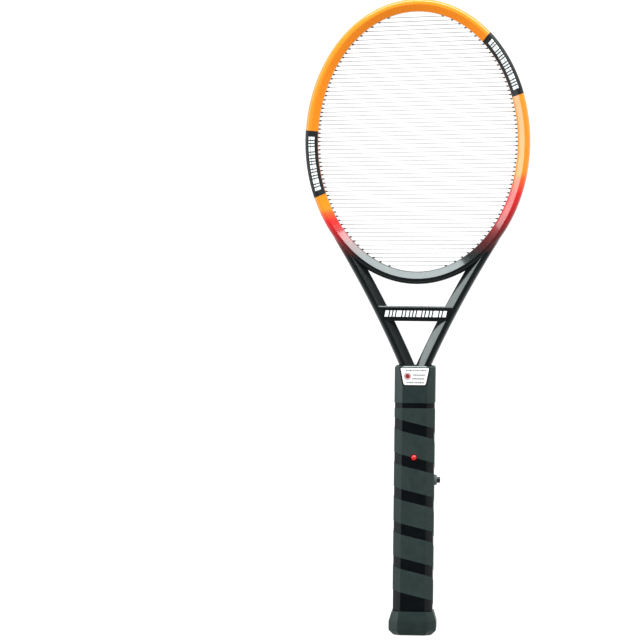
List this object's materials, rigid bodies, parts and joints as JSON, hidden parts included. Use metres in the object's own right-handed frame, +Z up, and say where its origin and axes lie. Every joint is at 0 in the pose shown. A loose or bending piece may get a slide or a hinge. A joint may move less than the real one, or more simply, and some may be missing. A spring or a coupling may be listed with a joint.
{
  "type": "electric fly swatter",
  "caption": "Racket-shaped electric fly swatter: oval head with a live wire grid, V throat and a tape-wrapped octagonal handle with push button, lamp and battery cap",
  "frame": {"origin": "centre of the bounding box on the surface the racket lies on", "axes": "+Y along the racket from the battery cap to the top of the head, +X towards the push button, +Z up through the front face"},
  "size_m": [0.1946, 0.55, 0.0393],
  "materials": {
    "frame_paint": "orange to red to black sprayed fade, satin gloss",
    "frame_black": "moulded black, satin gloss",
    "badge_black": "glossy black",
    "grid_steel": "bare drawn wire",
    "handle_grey": "fine-textured moulded dark grey",
    "grip_tape": "matt woven-faced grip tape",
    "label_white": "satin label film",
    "cap_black": "moulded black",
    "screw_steel": "zinc plated",
    "spring_steel": "nickel plated wire",
    "contact_brass": "stamped strip",
    "cell_jacket": "plain jacket",
    "button_black": "moulded black",
    "bezel_grey": "moulded grey",
    "switch_black": "moulded black",
    "lamp_red": "clear-coated red epoxy",
    "board_green": "solder mask",
    "ferrite": "ground ferrite",
    "copper": "enamelled copper",
    "film_capacitor": "dipped film",
    "component_black": "moulded epoxy",
    "resistor_tan": "lacquered",
    "lead_red": "insulated lead"
  },
  "bodies": {
    "racket": {"battery_bulkhead": "component_black", "battery_lower": "cell_jacket", "battery_upper": "cell_jacket", "board_screw_1": "screw_steel", "board_screw_2": "screw_steel", "bridge_badge": "badge_black", "bridge_screw_left": "screw_steel", "bridge_screw_right": "screw_steel", "circuit_board": "board_green", "contact_strip": "contact_brass", "frame_front_shell": "frame_paint", "frame_rear_shell": "frame_paint", "grid_wire_a": "grid_steel", "grid_wire_b": "grid_steel", "grip_tape": "grip_tape", "handle_front_shell": "handle_grey", "handle_rear_shell": "handle_grey", "handle_screw_1": "screw_steel", "handle_screw_2": "screw_steel", "handle_screw_3": "screw_steel", "handle_screw_4": "screw_steel", "hv_capacitor": "film_capacitor", "hv_lead_a": "lead_red", "hv_lead_b": "lead_red", "indicator_lamp": "lamp_red", "label_plate": "label_white", "positive_contact": "contact_brass", "power_transistor": "component_black", "rectifier_diode_1": "component_black", "rectifier_diode_2": "component_black", "rectifier_diode_3": "component_black", "resistor_1": "resistor_tan", "resistor_2": "resistor_tan", "switch_bezel": "bezel_grey", "switch_contact": "contact_brass", "switch_housing": "switch_black", "switch_lead_1": "lead_red", "switch_lead_2": "lead_red", "switch_spring": "spring_steel", "transformer_core": "ferrite", "transformer_winding": "copper"},
    "battery_cap": {"battery_cap": "cap_black", "negative_spring": "spring_steel"},
    "cap_screw": {"cap_screw": "screw_steel"},
    "push_button": {"push_button": "button_black"}
  },
  "joints": [
    {"name": "button_press", "type": "slide", "parent": "racket", "child": "push_button", "axis": [-1, 0, 0], "range_m": [0, 0.0023], "stiffness_N_per_m": 400, "springref_m": -0.002, "deforming": ["switch_spring"]},
    {"name": "battery_cap_slide", "type": "slide", "parent": "racket", "child": "battery_cap", "axis": [0, -1, 0], "range_m": [0, 0.045]},
    {"name": "cap_screw_turn", "type": "hinge", "parent": "battery_cap", "child": "cap_screw", "pos_m": [-0.0112, -0.275, 0.0083], "axis": [0, 1, 0], "continuous": true}
  ]
}
